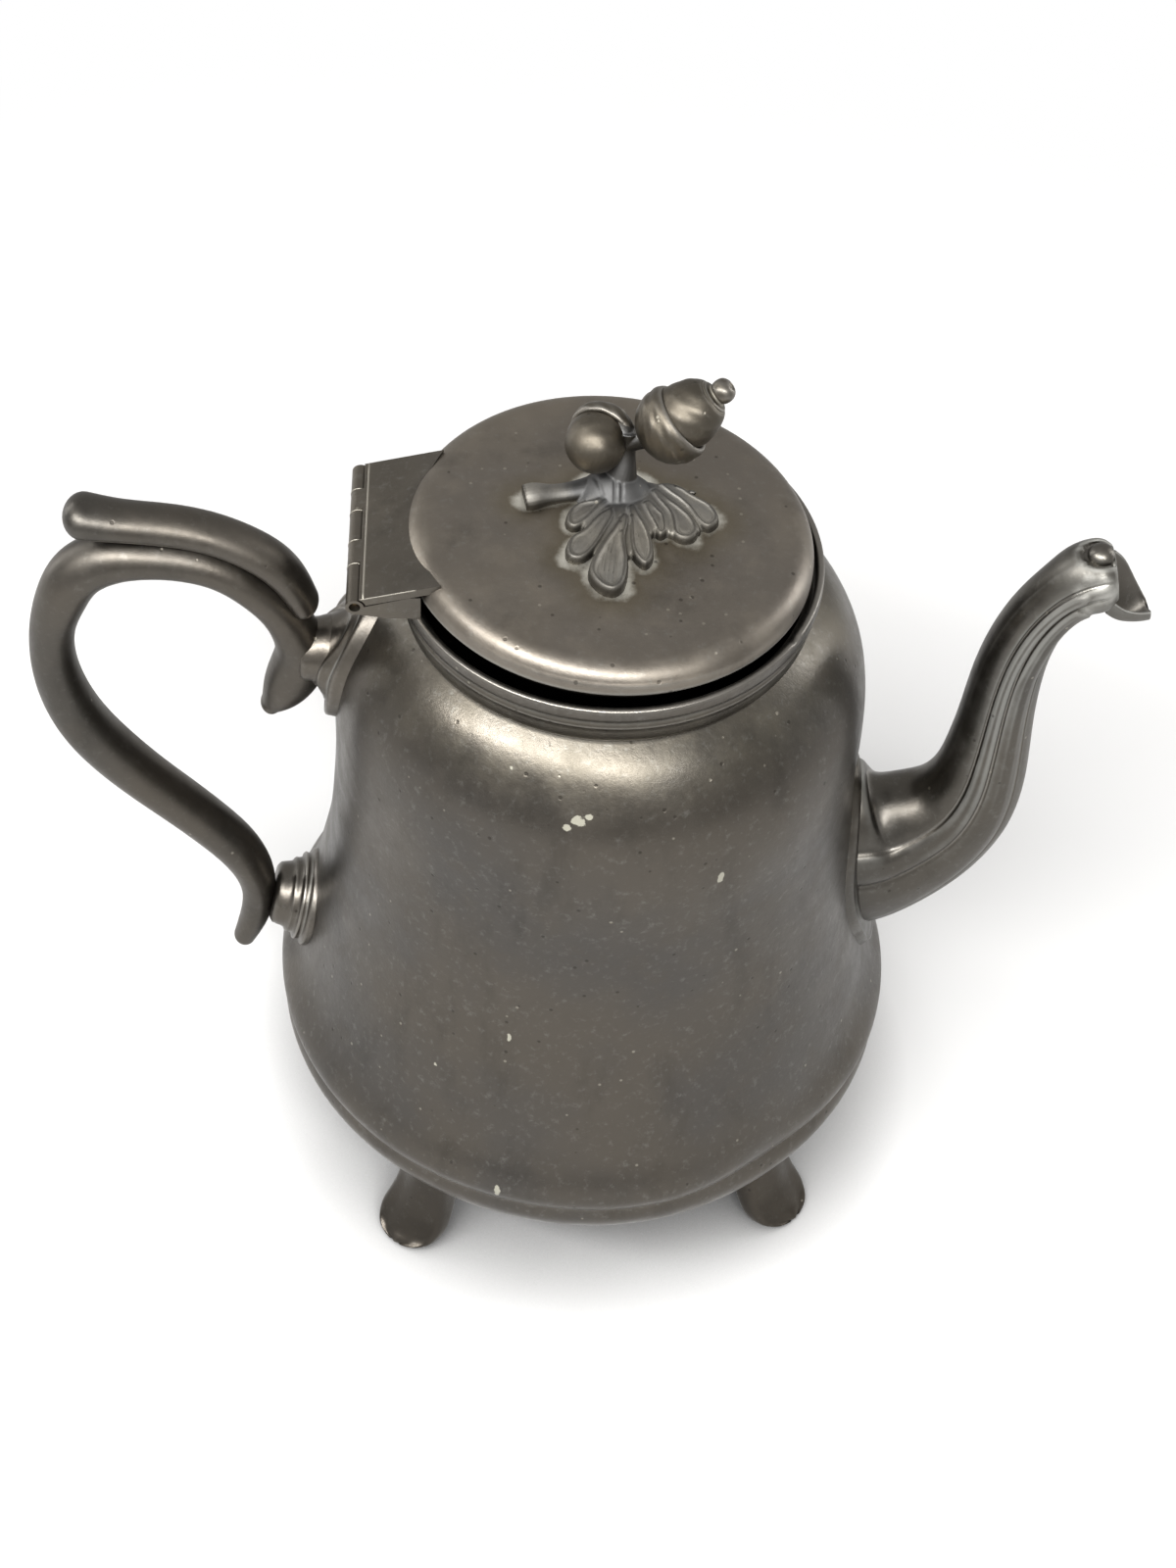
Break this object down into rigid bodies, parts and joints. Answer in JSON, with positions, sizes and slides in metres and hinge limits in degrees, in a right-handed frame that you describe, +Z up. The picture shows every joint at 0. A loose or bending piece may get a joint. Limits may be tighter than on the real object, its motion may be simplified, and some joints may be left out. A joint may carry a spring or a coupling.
{
  "type": "teapot",
  "caption": "Bell-shaped pewter teapot with a hinged disc lid, oak leaf and acorn finial, fluted swan-neck spout, scroll handle and splayed tongue feet.",
  "frame": {"origin": "bottom centre of the bounding box of the closed pot standing on its feet", "axes": "X runs from the handle (-X) to the spout (+X), Y runs across the pot along the hinge, Z is up"},
  "size_m": [0.244, 0.15, 0.2204],
  "materials": {
    "body_pewter": "turned pewter, satin, dark grey-brown with an olive patina",
    "cast_pewter": "cast pewter, satin, dark grey-brown with pale oxide in the recesses",
    "handle_pewter": "cast pewter, smooth satin, dark grey-brown",
    "finial_pewter": "cast pewter, blue-grey, worn bright on the edges, khaki in the recesses",
    "hinge_metal": "flat pewter sheet, dark, with fine bright edges",
    "pin_metal": "dull brass wire"
  },
  "bodies": {
    "pot": {"body_shell": "body_pewter", "base_floor": "body_pewter", "base_bowl": "body_pewter", "gallery_ring": "body_pewter", "body_hinge_leaf": "hinge_metal", "hinge_pin": "pin_metal", "spout_root": "cast_pewter", "spout_stem": "cast_pewter", "spout_neck": "cast_pewter", "spout_mouth": "cast_pewter", "spout_root_flange": "cast_pewter", "spout_lip": "cast_pewter", "spout_top_boss": "cast_pewter", "handle_scroll": "handle_pewter", "handle_thumb_leaf": "handle_pewter", "upper_socket": "cast_pewter", "upper_socket_plate": "cast_pewter", "lower_socket": "cast_pewter", "foot_front_left": "cast_pewter", "foot_front_right": "cast_pewter", "foot_back_left": "cast_pewter", "foot_back_right": "cast_pewter"},
    "lid": {"lid_plate": "body_pewter", "lid_bezel": "body_pewter", "lid_hinge_leaf": "hinge_metal", "finial_trunk": "finial_pewter", "oak_leaf_front": "finial_pewter", "oak_leaf_side": "finial_pewter", "twig_stub": "finial_pewter", "large_acorn_cup": "finial_pewter", "large_acorn_nut": "finial_pewter", "small_acorn_cup": "finial_pewter", "small_acorn_nut": "finial_pewter", "finial_stud": "pin_metal", "finial_nut": "pin_metal"}
  },
  "joints": [
    {"name": "lid_hinge", "type": "hinge", "parent": "pot", "child": "lid", "pos_m": [-0.04972, 0, 0.186], "axis": [0, -1, 0], "range_deg": [0, 100]}
  ]
}
